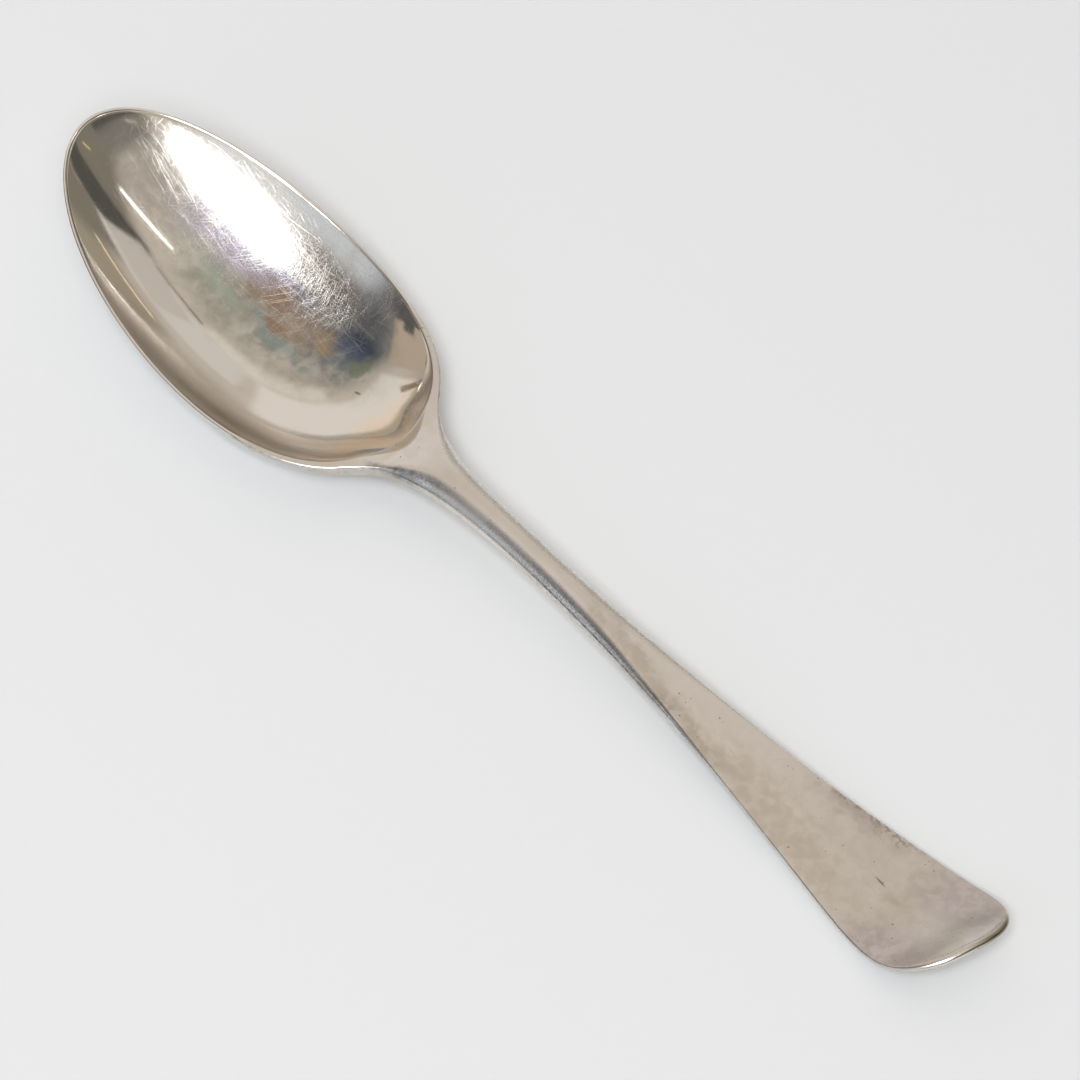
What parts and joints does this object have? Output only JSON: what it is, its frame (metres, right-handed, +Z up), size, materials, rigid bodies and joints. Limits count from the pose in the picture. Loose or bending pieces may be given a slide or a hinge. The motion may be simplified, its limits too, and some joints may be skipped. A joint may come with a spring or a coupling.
{
  "type": "table spoon",
  "caption": "Hand-made silver table spoon for eating and serving: egg-shaped bowl, rounded stem with soldered shoulders, wide flat handle with a turned-up round end.",
  "frame": {"origin": "on the surface that the spoon lies on, under the middle of its length", "axes": "+X from the tip of the bowl to the end of the handle, +Z up out of the bowl's hollow"},
  "size_m": [0.201, 0.0406, 0.0213],
  "materials": {
    "polished_silver": "polished silver, finely scratched and lightly tarnished",
    "satin_silver": "satin silver worn by handling, with small pits"
  },
  "bodies": {
    "root": {"bowl": "polished_silver", "stem": "satin_silver", "heel_drop": "satin_silver"}
  },
  "joints": []
}
